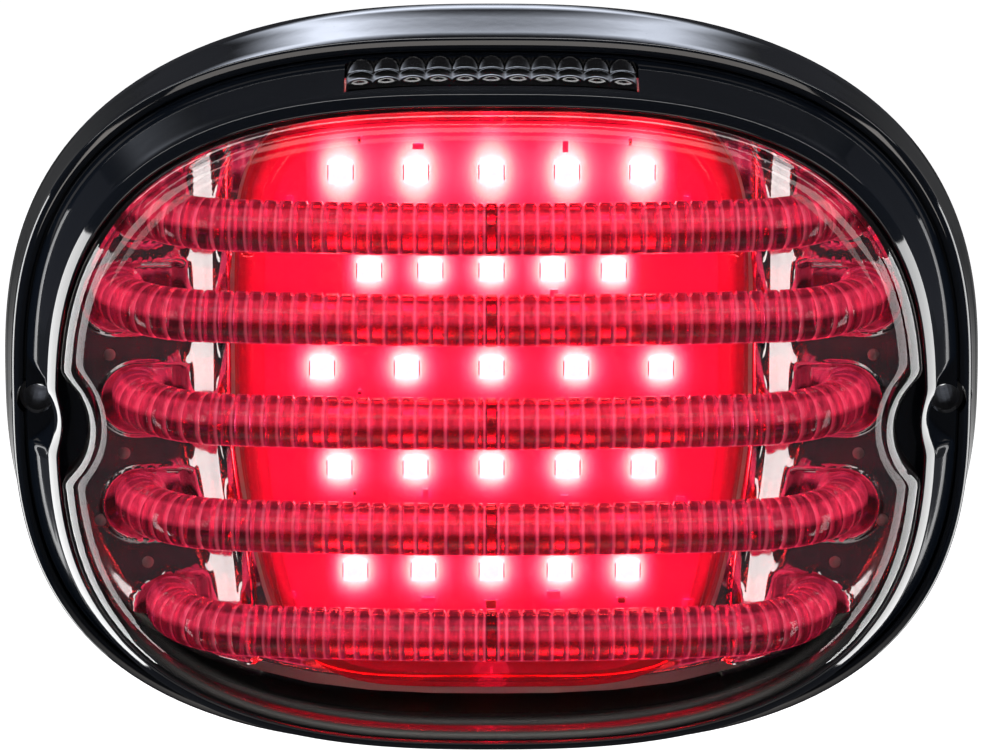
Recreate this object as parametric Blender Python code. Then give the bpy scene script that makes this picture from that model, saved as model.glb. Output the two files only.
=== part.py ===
"""LED tail light for a motorcycle rear mudguard.

The frame is metres with +Z up. The origin is the centre of the flat back, which rests on the
mudguard. The light shines towards -Y, and +X is on the right of somebody who faces it.
Below, "depth" is the distance in front of the back face, so a point of depth d has y = -d.
All the dimensions in this file are millimetres; MM turns them into metres.
"""

import math

import bmesh
import bpy

MM = 0.001
GAP = 0.3  # clearance between pieces that touch

# Outline of the light: a superellipse, rounder at the back face than further forward
HALF_WIDTH = 70.0
HALF_HEIGHT = 54.2
BACK_SQUARENESS = 2.5
SQUARENESS = 2.75
RING_POINTS = 64
SIDE_CROWDING = 0.33  # how strongly the outline's points gather at the two screw pockets

# Rear housing
SKIRT_DEPTH = 15.0
SKIRT_DRAFT = 2.0
LIP_INSET = 3.6  # inner edge of the skirt's front lip
LEDGE_INSET = 6.0  # inner edge of the ledge that the bezel sits on
LEDGE_DEPTH = 13.0
FLOOR = 2.6
WALL_INSET = 2.6

# Front surface of the light, from which the bezel's rim and the outer lens are measured back
FRONT_CENTRE_DEPTH = 37.0
BOW_ACROSS = 6.0  # how far the front falls back at x = HALF_WIDTH
BOW_UP = 2.5  # how far it falls back at z = HALF_HEIGHT

# Bezel: half width and half height of its rings
BEZEL_FOOT_HALF = (66.1, 50.3)
RIM_OUTER_HALF = (62.4, 47.7)
RIM_CREST_HALF = (61.6, 47.0)
RIM_INNER_HALF = (60.8, 46.3)
BEZEL_LEDGE_HALF = (59.2, 45.0)
RIM_BACK = 4.3  # distance of the rim's crest behind the front surface
BEZEL_LEDGE_BACK = 7.6
BEZEL_WALL = 1.7

# Outer lens
LENS_WALL = 1.5
LENS_HALF = (60.4, 45.9)
LENS_FACE_HALF = (56.6, 42.7)
LENS_FOOT_BACK = 6.5

# Screw pockets in the bezel, and the scallops in the lens beside them
POCKET_RADIUS = 6.3
POCKET_AXIS_X = 67.6
SCALLOP_RADIUS = 9.6
SCALLOP_AXIS_X = 66.3
CORNER_BLEND = 1.4
SCREW_X = 64.5
SCREW_HOLE_RADIUS = 2.15
SLEEVE_RADIUS = 2.7
BOSS_RADIUS = 3.9

# Circuit board and its light sources
BOARD_DEPTH = 6.0
BOARD_THICKNESS = 1.6
BOARD_HALF = (61.6, 46.4)
LED_SIZE = (3.4, 3.0, 1.0)
LED_ROW_HEIGHTS = (31.4, 17.0, 2.6, -12.2, -27.6)
LED_ROW_PITCHES = (10.7, 8.7, 12.1, 10.9, 9.8)
LEDS_PER_ROW = 5
LICENCE_LED_X = 9.5
LICENCE_LED_HEIGHT = 44.3
BOARD_SCREWS = {"upper": (0.0, 40.3), "lower": (0.0, -38.5)}
BOARD_SCREW_POST_RADIUS = 3.2
BOARD_PEGS = ((-44.0, 26.0), (44.0, -26.0))  # two of the housing's pegs set the board's place
BOARD_PEG_RADIUS = 1.4

# Light bars
BAR_HEIGHTS = (28.7, 15.6, 0.6, -14.8, -30.4)
BAR_HALF_SPANS = (48.9, 52.8, 50.2, 50.0, 45.8)  # from the middle to the axis of a bar's leg
BAR_RADIUS = 3.7
BAR_FRONT_DEPTH = 30.4  # of a bar's axis at x = 0
BAR_BOW = 4.2
BAR_BEND = 12.5  # of the bend's quarter ellipse, across
BAR_DROP = 11.0  # and front to back
BAR_FOOT_DEPTH = 9.4

# Inner red lens
RED_BASE_HALF = (36.6, 42.2)
RED_FRONT_HALF = (33.8, 40.6)
RED_SQUARENESS = 5.0
RED_BASE_DEPTH = 9.6
RED_FRONT_DEPTH = 19.6
RED_WALL = 1.5
RED_BOW_RADIUS = 450.0  # of the front, which bows about an upright axis

# Reflector
REFLECTOR_WALL = 1.3
REFLECTOR_INNER_DEPTH = 11.0
REFLECTOR_STEP_DEPTH = 14.0
REFLECTOR_RIM_DEPTH = 15.4
REFLECTOR_SIDE_RISE = 3.4
REFLECTOR_RIM_HALF = (60.6, 43.4)
BAR_CLEARANCE = 0.6

# Licence-plate light
LICENCE_HALF_WIDTH = 20.2
LICENCE_FLUTES = 11
LICENCE_DEPTHS = (17.0, 26.0)
FLUTE_HEIGHT = 0.6

# Back
GASKET_INSETS = (9.8, 12.2)
GASKET_GROOVE = 1.2
GROMMET_HEIGHT = -18.0
GROMMET_HOLE = 6.5
GROMMET_BORE = 3.2
VENT_PLACE = (26.0, -18.0)
VENT_HOLE = 3.0


def clear_scene():
    for thing in list(bpy.data.objects):
        bpy.data.objects.remove(thing, do_unlink=True)


def material(name, colour, roughness, metallic=0.0):
    finish = bpy.data.materials.new(name)
    finish.use_nodes = True
    shader = finish.node_tree.nodes["Principled BSDF"]
    shader.inputs["Base Color"].default_value = (*colour, 1.0)
    shader.inputs["Roughness"].default_value = roughness
    shader.inputs["Metallic"].default_value = metallic
    finish.diffuse_color = (*colour, 1.0)
    return finish


def ring_angles(count=RING_POINTS, crowding=SIDE_CROWDING):
    """Angles once round, closer together where the outline crosses the X axis."""
    steps = [2.0 * math.pi * i / count for i in range(count)]
    return [step - crowding * math.sin(2.0 * step) for step in steps]


def superellipse(angle, half, squareness):
    """Point of a superellipse in the direction of an angle, as (x, z)."""
    across = abs(math.cos(angle) / half[0]) ** squareness
    upward = abs(math.sin(angle) / half[1]) ** squareness
    reach = (across + upward) ** (-1.0 / squareness)
    return reach * math.cos(angle), reach * math.sin(angle)


def inset_ring(inset, depth, angles):
    """Ring of the light's own outline, moved inwards. It squares up towards the skirt's front."""
    half = (HALF_WIDTH - inset, HALF_HEIGHT - inset)
    share = min(max(depth / SKIRT_DEPTH, 0.0), 1.0)
    squareness = BACK_SQUARENESS + (SQUARENESS - BACK_SQUARENESS) * share
    points = [superellipse(angle, half, squareness) for angle in angles]
    return [(x, -depth, z) for x, z in points]


def front_depth(x, z):
    """Depth of the light's bowed front surface."""
    return FRONT_CENTRE_DEPTH - BOW_ACROSS * (x / HALF_WIDTH) ** 2 - BOW_UP * (z / HALF_HEIGHT) ** 2


def hollowed(x, z, axis_x, radius):
    """Moves x inwards where an upright round hollow beside the light reaches it."""
    if abs(z) >= radius + CORNER_BLEND:
        return x
    limit = axis_x - math.sqrt(max(radius**2 - z**2, 0.0))
    size = abs(x)
    blend = max(CORNER_BLEND - abs(size - limit), 0.0) / CORNER_BLEND
    return math.copysign(min(size, limit) - blend**2 * CORNER_BLEND / 4.0, x)


def front_ring(half, back, angles, hollow=None, depth=None):
    """Ring a distance behind the bowed front, or at one depth. hollow is (axis x, radius)."""
    ring = []
    for angle in angles:
        x, z = superellipse(angle, half, SQUARENESS)
        if hollow:
            x = hollowed(x, z, *hollow)
        ring.append((x, -(front_depth(x, z) - back if depth is None else depth), z))
    return ring


def pocket(wall=0.0):
    """The screw pocket's hollow, for a surface that stands a wall's thickness behind it."""
    return POCKET_AXIS_X, POCKET_RADIUS + wall


def scallop(wall=0.0):
    """The lens's scallop beside a pocket, in the same way."""
    return SCALLOP_AXIS_X, SCALLOP_RADIUS + wall


def shrunk(half, wall):
    return half[0] - wall, half[1] - wall


def between(start, end, share):
    return tuple(a + (b - a) * share for a, b in zip(start, end))


def add_rings(mesh, rings, wrap=False):
    """Joins rings of equally many points with quads. A ring of one point closes to a tip."""
    rows = [[mesh.verts.new([value * MM for value in point]) for point in ring] for ring in rings]
    pairs = list(zip(rows, rows[1:]))
    if wrap:
        pairs.append((rows[-1], rows[0]))
    for first, second in pairs:
        count = max(len(first), len(second))
        for i in range(count):
            j = (i + 1) % count
            corners = []
            for row, places in ((first, (i, j)), (second, (j, i))):
                corners += [row[place] for place in places] if len(row) > 1 else [row[0]]
            mesh.faces.new(corners)
    return rows


def add_object(name, mesh, finish, smooth_angle=35.0):
    """Closes a bmesh into a named object with its faces pointing out."""
    bmesh.ops.recalc_face_normals(mesh, faces=mesh.faces[:])
    data = bpy.data.meshes.new(name)
    mesh.to_mesh(data)
    mesh.free()
    data.shade_smooth()
    data.set_sharp_from_angle(angle=math.radians(smooth_angle))
    thing = bpy.data.objects.new(name, data)
    bpy.context.scene.collection.objects.link(thing)
    if finish:
        data.materials.append(finish)
    return thing


def lofted(name, rings, finish, wrap=False):
    """Object from a row of rings, with flat n-gons closing its two ends unless it wraps round."""
    mesh = bmesh.new()
    rows = add_rings(mesh, rings, wrap)
    if not wrap:
        for row in (rows[0], rows[-1]):
            if len(row) > 1:
                mesh.faces.new(row)
    return add_object(name, mesh, finish)


def turned(mesh, profile, centre=(0.0, 0.0), sides=24, wrap=False):
    """Adds a turned body whose axis runs along Y. The profile is (radius, depth) pairs."""
    rings = []
    for radius, depth in profile:
        if radius == 0.0:
            rings.append([(centre[0], -depth, centre[1])])
            continue
        turns = [2.0 * math.pi * i / sides for i in range(sides)]
        rings.append(
            [(centre[0] + radius * math.cos(t), -depth, centre[1] + radius * math.sin(t)) for t in turns]
        )
    return add_rings(mesh, rings, wrap)


def add_cylinder(mesh, centre, radius, depths, sides=24):
    rows = turned(mesh, [(radius, depths[0]), (radius, depths[1])], centre, sides)
    for row in rows:
        mesh.faces.new(row)


def add_block(mesh, low, high):
    """Adds a box between two corners given as (x, depth, z)."""
    corners = [(low[0], low[2]), (high[0], low[2]), (high[0], high[2]), (low[0], high[2])]
    rows = add_rings(mesh, [[(x, -depth, z) for x, z in corners] for depth in (low[1], high[1])])
    for row in rows:
        mesh.faces.new(row)


def cut(thing, cutter_mesh, name, operation="DIFFERENCE"):
    """Cuts, or joins, a helper body that is left out of the model."""
    helper = add_object(name, cutter_mesh, None)
    helper.hide_render = True
    helper.display_type = "WIRE"
    step = thing.modifiers.new(name, "BOOLEAN")
    step.operation = operation
    step.object = helper


def make_housing(finish):
    """Black tub: back plate, flared skirt, ledge for the bezel, bosses and pegs."""
    angles = ring_angles()
    section = (
        (0.8, 0.0),
        (0.0, 0.8),
        (SKIRT_DRAFT - 0.1, SKIRT_DEPTH - 0.7),
        (SKIRT_DRAFT + 0.5, SKIRT_DEPTH),
        (LIP_INSET, SKIRT_DEPTH),
        (LIP_INSET, LEDGE_DEPTH),
        (LEDGE_INSET, LEDGE_DEPTH),
        (LEDGE_INSET, LEDGE_DEPTH - 1.6),
        (WALL_INSET + 1.0, LEDGE_DEPTH - 4.6),
        (WALL_INSET + 0.4, FLOOR),
    )
    housing = lofted("rear_housing", [inset_ring(*place, angles) for place in section], finish)

    posts = bmesh.new()
    for side in (-1, 1):
        add_cylinder(posts, (side * SCREW_X, 0.0), BOSS_RADIUS, (FLOOR - 1.0, LEDGE_DEPTH - 0.2))
    for place in BOARD_SCREWS.values():
        add_cylinder(posts, place, BOARD_SCREW_POST_RADIUS, (FLOOR - 1.0, BOARD_DEPTH - GAP), 16)
    for peg in BOARD_PEGS:
        reach = (FLOOR - 1.0, BOARD_DEPTH + BOARD_THICKNESS + 0.6)
        add_cylinder(posts, peg, BOARD_PEG_RADIUS, reach, 12)
    cut(housing, posts, "housing_posts", "UNION")

    holes = bmesh.new()
    for side in (-1, 1):
        add_cylinder(holes, (side * SCREW_X, 0.0), SLEEVE_RADIUS + GAP, (-1.0, SKIRT_DEPTH + 1.0))
    for place in BOARD_SCREWS.values():
        add_cylinder(holes, place, 1.3, (1.0, BOARD_DEPTH + 1.0), 12)
    add_cylinder(holes, (0.0, GROMMET_HEIGHT), GROMMET_HOLE, (-1.0, FLOOR + 1.0))
    add_cylinder(holes, VENT_PLACE, VENT_HOLE, (-1.0, FLOOR + 1.0), 16)
    cut(housing, holes, "housing_holes")

    groove = bmesh.new()
    low, high = GASKET_INSETS[0] - GAP, GASKET_INSETS[1] + GAP
    section = ((low, -1.0), (high, -1.0), (high, GASKET_GROOVE), (low, GASKET_GROOVE))
    add_rings(groove, [inset_ring(*place, angles) for place in section], wrap=True)
    cut(housing, groove, "gasket_groove")
    return housing


def make_bezel(finish):
    """Black ring that slopes from the skirt up to a rounded rim and carries the lens.

    Its foot stays on the outline, so where the wall dips inwards the foot is a flat pocket floor.
    """
    angles = ring_angles()
    foot_depth = LEDGE_DEPTH + GAP
    inner_foot = shrunk(BEZEL_FOOT_HALF, BEZEL_WALL)
    under_ledge = shrunk(RIM_INNER_HALF, 0.3)
    rings = [
        front_ring(BEZEL_FOOT_HALF, 0.0, angles, depth=foot_depth),
        front_ring(BEZEL_FOOT_HALF, 0.0, angles, depth=SKIRT_DEPTH),
        front_ring(shrunk(BEZEL_FOOT_HALF, 0.1), 0.0, angles, pocket(-0.3), SKIRT_DEPTH),
        front_ring(RIM_OUTER_HALF, RIM_BACK + 1.3, angles, pocket()),
        front_ring(between(RIM_OUTER_HALF, RIM_CREST_HALF, 0.4), RIM_BACK + 0.4, angles, pocket(0.1)),
        front_ring(RIM_CREST_HALF, RIM_BACK, angles, pocket(0.5)),
        front_ring(between(RIM_CREST_HALF, RIM_INNER_HALF, 0.7), RIM_BACK + 0.5, angles, pocket(0.95)),
        front_ring(RIM_INNER_HALF, RIM_BACK + 1.3, angles, pocket(1.1)),
        front_ring(RIM_INNER_HALF, BEZEL_LEDGE_BACK, angles, pocket(1.1)),
        front_ring(BEZEL_LEDGE_HALF, BEZEL_LEDGE_BACK, angles, scallop(1.2)),
        front_ring(BEZEL_LEDGE_HALF, BEZEL_LEDGE_BACK + 1.2, angles, scallop(1.2)),
        front_ring(under_ledge, BEZEL_LEDGE_BACK + 1.8, angles, pocket(BEZEL_WALL + 0.5)),
        front_ring(inner_foot, 0.0, angles, pocket(BEZEL_WALL + 0.5), foot_depth),
    ]
    bezel = lofted("bezel", rings, finish, wrap=True)

    openings = bmesh.new()
    for side in (-1, 1):
        reach = (foot_depth - 1.0, SKIRT_DEPTH + 1.0)
        add_cylinder(openings, (side * SCREW_X, 0.0), SCREW_HOLE_RADIUS, reach)
    low = (-LICENCE_HALF_WIDTH - GAP, LICENCE_DEPTHS[0] - GAP, HALF_HEIGHT - 10.0)
    high = (LICENCE_HALF_WIDTH + GAP, LICENCE_DEPTHS[1] + GAP, HALF_HEIGHT)
    add_block(openings, low, high)
    cut(bezel, openings, "bezel_openings")
    return bezel


def make_lens(finish):
    """Smoked outer lens: short wall, rounded shoulder and bowed front, scalloped at the sides."""
    angles = ring_angles()
    turn = between(LENS_HALF, LENS_FACE_HALF, 0.45)
    outer = [
        front_ring(LENS_HALF, LENS_FOOT_BACK, angles, scallop()),
        front_ring(LENS_HALF, 3.0, angles, scallop()),
        front_ring(between(LENS_HALF, LENS_FACE_HALF, 0.12), 1.5, angles, scallop(0.3)),
        front_ring(turn, 0.5, angles, scallop(1.2)),
        front_ring(LENS_FACE_HALF, 0.0, angles, scallop(2.6)),
    ]
    inner = [
        front_ring(shrunk(LENS_HALF, LENS_WALL), LENS_FOOT_BACK, angles, scallop(LENS_WALL)),
        front_ring(shrunk(LENS_HALF, LENS_WALL), 3.6, angles, scallop(LENS_WALL)),
        front_ring(shrunk(turn, LENS_WALL), LENS_WALL + 0.5, angles, scallop(LENS_WALL + 1.2)),
        front_ring(shrunk(LENS_FACE_HALF, LENS_WALL), LENS_WALL, angles, scallop(LENS_WALL + 2.6)),
    ]
    for share in (0.72, 0.38):
        half = (LENS_FACE_HALF[0] * share, LENS_FACE_HALF[1] * share)
        outer.append(front_ring(half, 0.0, angles))
        inner.append(front_ring(half, LENS_WALL, angles))
    outer.append([(0.0, -FRONT_CENTRE_DEPTH, 0.0)])
    inner.append([(0.0, -(FRONT_CENTRE_DEPTH - LENS_WALL), 0.0)])
    return lofted("outer_lens", inner[::-1] + outer, finish)


def make_lens_seal(finish):
    """Soft ring between the bezel's ledge and the lens's foot."""
    angles = ring_angles()
    back, front = BEZEL_LEDGE_BACK - GAP, LENS_FOOT_BACK + GAP
    wide, narrow = shrunk(LENS_HALF, 0.1), shrunk(BEZEL_LEDGE_HALF, -0.1)
    rings = [
        front_ring(wide, back, angles, scallop(0.1)),
        front_ring(narrow, back, angles, scallop(1.1)),
        front_ring(narrow, front, angles, scallop(1.1)),
        front_ring(wide, front, angles, scallop(0.1)),
    ]
    return lofted("lens_seal", rings, finish, wrap=True)


def make_licence_guide(finish):
    """Clear guide that takes light from the board up to a fluted window in the bezel."""
    columns = 4 * LICENCE_FLUTES
    rise = front_depth(0.0, RIM_OUTER_HALF[1]) - RIM_BACK - 1.3 - SKIRT_DEPTH
    slope = (BEZEL_FOOT_HALF[1] - RIM_OUTER_HALF[1]) / rise
    sections = []
    for i in range(columns + 1):
        x = LICENCE_HALF_WIDTH * (2.0 * i / columns - 1.0)
        flute = FLUTE_HEIGHT * abs(math.sin(math.pi * LICENCE_FLUTES * i / columns))
        fall = 1.0 - (1.0 - (abs(x) / BEZEL_FOOT_HALF[0]) ** SQUARENESS) ** (1.0 / SQUARENESS)
        drop = BEZEL_FOOT_HALF[1] * fall
        foot = BEZEL_FOOT_HALF[1] - drop + flute
        tops = [foot - slope * (depth - SKIRT_DEPTH) for depth in LICENCE_DEPTHS]
        section = (
            (BAR_FOOT_DEPTH, 44.0 - drop),
            (BAR_FOOT_DEPTH, 45.1 - drop),
            (LICENCE_DEPTHS[0], 45.1 - drop),
            (LICENCE_DEPTHS[0], tops[0]),
            (LICENCE_DEPTHS[1], tops[1]),
            (LICENCE_DEPTHS[1], 45.2 - drop),
        )
        sections.append([(x, -depth, z) for depth, z in section])
    return lofted("licence_light_guide", sections, finish)


def make_reflector(finish):
    """Bright bowl between the red lens and the wall, with a hole for every leg of a bar."""
    angles = ring_angles()
    play = 0.5
    inner_half = shrunk(RED_BASE_HALF, -play)

    def rings(back):
        rows = []
        for share, depth, rise in (
            (0.0, REFLECTOR_INNER_DEPTH, 0.0),
            (0.22, REFLECTOR_STEP_DEPTH, 0.0),
            (0.6, REFLECTOR_RIM_DEPTH, 0.5),
            (1.0, REFLECTOR_RIM_DEPTH, 1.0),
        ):
            row = []
            for angle in angles:
                start = superellipse(angle, inner_half, RED_SQUARENESS)
                end = superellipse(angle, REFLECTOR_RIM_HALF, SQUARENESS)
                end = (hollowed(*end, *pocket(BEZEL_WALL + 1.4)), end[1])
                x, z = between(start, end, share)
                lift = rise * REFLECTOR_SIDE_RISE * abs(math.cos(angle)) ** 1.5
                row.append((x, -(depth + lift - back), z))
            rows.append(row)
        return rows

    reflector = lofted("reflector", rings(0.0) + rings(REFLECTOR_WALL)[::-1], finish, wrap=True)
    holes = bmesh.new()
    for height, span in zip(BAR_HEIGHTS, BAR_HALF_SPANS):
        for side in (-1, 1):
            add_cylinder(holes, (side * span, height), BAR_RADIUS + BAR_CLEARANCE, (5.0, 29.0), 16)
    cut(reflector, holes, "bar_holes")
    return reflector


def make_red_lens(finish):
    """Red tray lens over the five rows of light sources."""
    angles = ring_angles(48, 0.0)

    def ring(half, depth, bow_radius=math.inf):
        points = [superellipse(angle, half, RED_SQUARENESS) for angle in angles]
        return [(x, -(depth - x**2 / (2.0 * bow_radius)), z) for x, z in points]

    front = between(RED_FRONT_HALF, (0.0, 0.0), 0.03)
    middle = between(RED_FRONT_HALF, (0.0, 0.0), 0.5)
    inside_depth = RED_FRONT_DEPTH - RED_WALL
    rings = [
        [(0.0, -RED_FRONT_DEPTH, 0.0)],
        ring(middle, RED_FRONT_DEPTH, RED_BOW_RADIUS),
        ring(front, RED_FRONT_DEPTH, RED_BOW_RADIUS),
        ring(RED_FRONT_HALF, RED_FRONT_DEPTH - 1.0, RED_BOW_RADIUS),
        ring(RED_BASE_HALF, RED_BASE_DEPTH),
        ring(shrunk(RED_BASE_HALF, RED_WALL), RED_BASE_DEPTH),
        ring(shrunk(front, RED_WALL), inside_depth, RED_BOW_RADIUS),
        ring(middle, inside_depth, RED_BOW_RADIUS),
        [(0.0, -inside_depth, 0.0)],
    ]
    return lofted("red_lens", rings, finish)


def bar_depth(x, span):
    """Depth of a bar's axis: bowed, then a quarter ellipse down into the leg."""
    depth = BAR_FRONT_DEPTH - BAR_BOW * (x / span) ** 2
    start = span - BAR_BEND
    if abs(x) <= start:
        return depth
    share = min((abs(x) - start) / BAR_BEND, 1.0)
    return depth - BAR_DROP * (1.0 - math.sqrt(max(1.0 - share**2, 0.0)))


def bar_axis(span, bend_steps=7, middle_steps=8):
    """Axis of a light bar, from the foot of one leg to the foot of the other."""
    start = span - BAR_BEND
    half = [start * i / (middle_steps / 2) for i in range(middle_steps // 2)]
    half += [start + BAR_BEND * math.sin(math.pi / 2 * i / bend_steps) for i in range(bend_steps + 1)]
    points = [(x, bar_depth(x, span)) for x in half]
    points.append((span, BAR_FOOT_DEPTH))
    return [(-x, depth) for x, depth in points[:0:-1]] + points


def make_bar(number, height, span, finish, sides=12):
    """One light bar: a round red rod with its two ends bent back as legs."""
    axis = bar_axis(span)
    rings = []
    for i, (x, depth) in enumerate(axis):
        before, after = axis[max(i - 1, 0)], axis[min(i + 1, len(axis) - 1)]
        run = (after[0] - before[0], after[1] - before[1])
        length = math.hypot(*run)
        across = (-run[1] / length, run[0] / length)
        if i in (0, len(axis) - 1):
            across = (math.copysign(1.0, x), 0.0) if i else (1.0, 0.0)
        ring = []
        for turn in (2.0 * math.pi * j / sides for j in range(sides)):
            out = BAR_RADIUS * math.cos(turn)
            up = BAR_RADIUS * math.sin(turn)
            ring.append((x + across[0] * out, -(depth + across[1] * out), height + up))
        rings.append(ring)
    return lofted(f"light_bar_{number}", rings, finish)


def make_board(finish):
    angles = ring_angles(48, 0.2)
    points = [superellipse(angle, BOARD_HALF, SQUARENESS) for angle in angles]
    depths = (BOARD_DEPTH, BOARD_DEPTH + BOARD_THICKNESS)
    board = lofted("circuit_board", [[(x, -depth, z) for x, z in points] for depth in depths], finish)
    holes = bmesh.new()
    reach = (BOARD_DEPTH - 1.0, BOARD_DEPTH + BOARD_THICKNESS + 1.0)
    for side in (-1, 1):
        add_cylinder(holes, (side * SCREW_X, 0.0), BOSS_RADIUS + 0.6, reach)
    for place in BOARD_SCREWS.values():
        add_cylinder(holes, place, 1.5, reach, 12)
    for peg in BOARD_PEGS:
        add_cylinder(holes, peg, BOARD_PEG_RADIUS + GAP, reach, 12)
    cut(board, holes, "board_holes")
    return board


def make_led(name, x, z, finish):
    """Surface-mounted light source with one clipped corner that marks its polarity."""
    half_x, half_z, thickness = LED_SIZE[0] / 2, LED_SIZE[1] / 2, LED_SIZE[2]
    clip = 0.7
    corners = (
        (-half_x, -half_z),
        (half_x, -half_z),
        (half_x, half_z - clip),
        (half_x - clip, half_z),
        (-half_x, half_z),
    )
    low = BOARD_DEPTH + BOARD_THICKNESS + GAP
    depths = (low, low + thickness)
    return lofted(name, [[(x + u, -depth, z + w) for u, w in corners] for depth in depths], finish)


def make_board_screw(name, x, z, finish):
    """Pan-head self-tapping screw with a cross recess, driven into a housing post."""
    head = BOARD_DEPTH + BOARD_THICKNESS + GAP
    mesh = bmesh.new()
    profile = (
        (0.0, 2.2),
        (0.9, 3.0),
        (0.9, head),
        (2.6, head),
        (2.6, head + 0.7),
        (1.9, head + 1.4),
        (0.0, head + 1.5),
    )
    turned(mesh, profile, (x, z), 16)
    screw = add_object(name, mesh, finish)
    recess = bmesh.new()
    top = (head + 0.9, head + 3.0)
    add_block(recess, (x - 1.2, top[0], z - 0.25), (x + 1.2, top[1], z + 0.25))
    cut(screw, recess, name + "_slot")
    recess = bmesh.new()
    add_block(recess, (x - 0.25, top[0], z - 1.2), (x + 0.25, top[1], z + 1.2))
    cut(screw, recess, name + "_cross_slot")
    return screw


def make_sleeve(name, x, finish):
    """Steel sleeve in a boss, which takes the load of a mounting screw."""
    mesh = bmesh.new()
    profile = (
        (SCREW_HOLE_RADIUS, 0.4),
        (SLEEVE_RADIUS, 0.4),
        (SLEEVE_RADIUS, LEDGE_DEPTH),
        (SCREW_HOLE_RADIUS, LEDGE_DEPTH),
    )
    turned(mesh, profile, (x, 0.0), wrap=True)
    return add_object(name, mesh, finish)


def make_mounting_gasket(finish):
    """Flat ring in the groove of the back, level with the back face."""
    angles = ring_angles()
    low, high = GASKET_INSETS
    depth = GASKET_GROOVE - GAP
    corners = ((low, 0.0), (high, 0.0), (high, depth), (low, depth))
    rings = [inset_ring(*corner, angles) for corner in corners]
    return lofted("mounting_gasket", rings, finish, wrap=True)


def make_grommet(finish):
    """Rubber grommet where the wires enter, gripping both sides of the back plate."""
    mesh = bmesh.new()
    edge = GROMMET_HOLE - GAP
    profile = (
        (GROMMET_BORE, 0.2),
        (edge, 0.2),
        (edge, FLOOR + GAP),
        (edge + 1.5, FLOOR + GAP),
        (edge + 0.9, FLOOR + 1.5),
        (GROMMET_BORE + 0.8, FLOOR + 2.3),
        (GROMMET_BORE, FLOOR + 2.3),
    )
    turned(mesh, profile, (0.0, GROMMET_HEIGHT), wrap=True)
    return add_object("wire_grommet", mesh, finish)


def make_vent(finish):
    """Breather plug that lets the sealed light even out its pressure."""
    mesh = bmesh.new()
    edge = VENT_HOLE - GAP
    profile = (
        (0.0, 0.3),
        (edge, 0.3),
        (edge, FLOOR + GAP),
        (edge + 0.9, FLOOR + GAP),
        (edge + 0.5, FLOOR + 1.3),
        (0.0, FLOOR + 1.6),
    )
    turned(mesh, profile, VENT_PLACE, 16)
    return add_object("vent_plug", mesh, finish)


def make_wire_header(finish):
    """Three-way connector on the back of the board, above the wire grommet."""
    mesh = bmesh.new()
    low = (-5.0, FLOOR + 0.4, -4.0)
    high = (5.0, BOARD_DEPTH - GAP, 3.0)
    add_block(mesh, low, high)
    header = add_object("wire_header", mesh, finish)
    sockets = bmesh.new()
    for i in (-1, 0, 1):
        socket_low = (3.0 * i - 1.0, low[1] + 0.7, low[2] - 1.0)
        socket_high = (3.0 * i + 1.0, high[1] - 0.7, low[2] + 4.5)
        add_block(sockets, socket_low, socket_high)
    cut(header, sockets, "header_sockets")
    return header


def main():
    clear_scene()
    black = material("gloss_black", (0.012, 0.014, 0.018), 0.15)
    smoked = material("smoked_lens", (0.03, 0.03, 0.035), 0.05)
    clear = material("clear_window", (0.25, 0.27, 0.3), 0.08)
    mirror = material("bright_reflector", (0.85, 0.85, 0.87), 0.06, 1.0)
    red = material("red_plastic", (0.65, 0.005, 0.03), 0.12)
    white_board = material("board_mask", (0.75, 0.74, 0.72), 0.5)
    led_body = material("led_body", (1.0, 0.85, 0.87), 0.3)
    steel = material("zinc_steel", (0.6, 0.6, 0.6), 0.35, 1.0)
    rubber = material("rubber", (0.02, 0.02, 0.02), 0.8)
    connector = material("connector_body", (0.8, 0.78, 0.7), 0.5)

    make_housing(black)
    make_bezel(black)
    make_lens(smoked)
    make_licence_guide(clear)
    make_reflector(mirror)
    make_red_lens(red)
    make_board(white_board)
    for number, (height, span) in enumerate(zip(BAR_HEIGHTS, BAR_HALF_SPANS), start=1):
        make_bar(number, height, span, red)
        for side, word in ((-1, "left"), (1, "right")):
            make_led(f"bar_led_{number}_{word}", side * span, height, led_body)
    for row, (height, pitch) in enumerate(zip(LED_ROW_HEIGHTS, LED_ROW_PITCHES), start=1):
        for column in range(LEDS_PER_ROW):
            x = pitch * (column - (LEDS_PER_ROW - 1) / 2)
            make_led(f"led_row{row}_{column + 1}", x, height, led_body)
    for side, word in ((-1, "left"), (1, "right")):
        make_led(f"licence_led_{word}", side * LICENCE_LED_X, LICENCE_LED_HEIGHT, led_body)
        make_sleeve(f"screw_sleeve_{word}", side * SCREW_X, steel)
    for word, (x, z) in BOARD_SCREWS.items():
        make_board_screw(f"board_screw_{word}", x, z, steel)
    make_lens_seal(rubber)
    make_mounting_gasket(rubber)
    make_grommet(rubber)
    make_vent(rubber)
    make_wire_header(connector)


main()
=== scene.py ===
"""Looks of the LED tail light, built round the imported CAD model.

The frame is the model's own: metres, +Z up, the origin at the centre of the flat back, light towards -Y.
Shapes are worked out in millimetres, and "depth" is the distance in front of the back face (y = -depth).
"""
import math
import random

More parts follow.
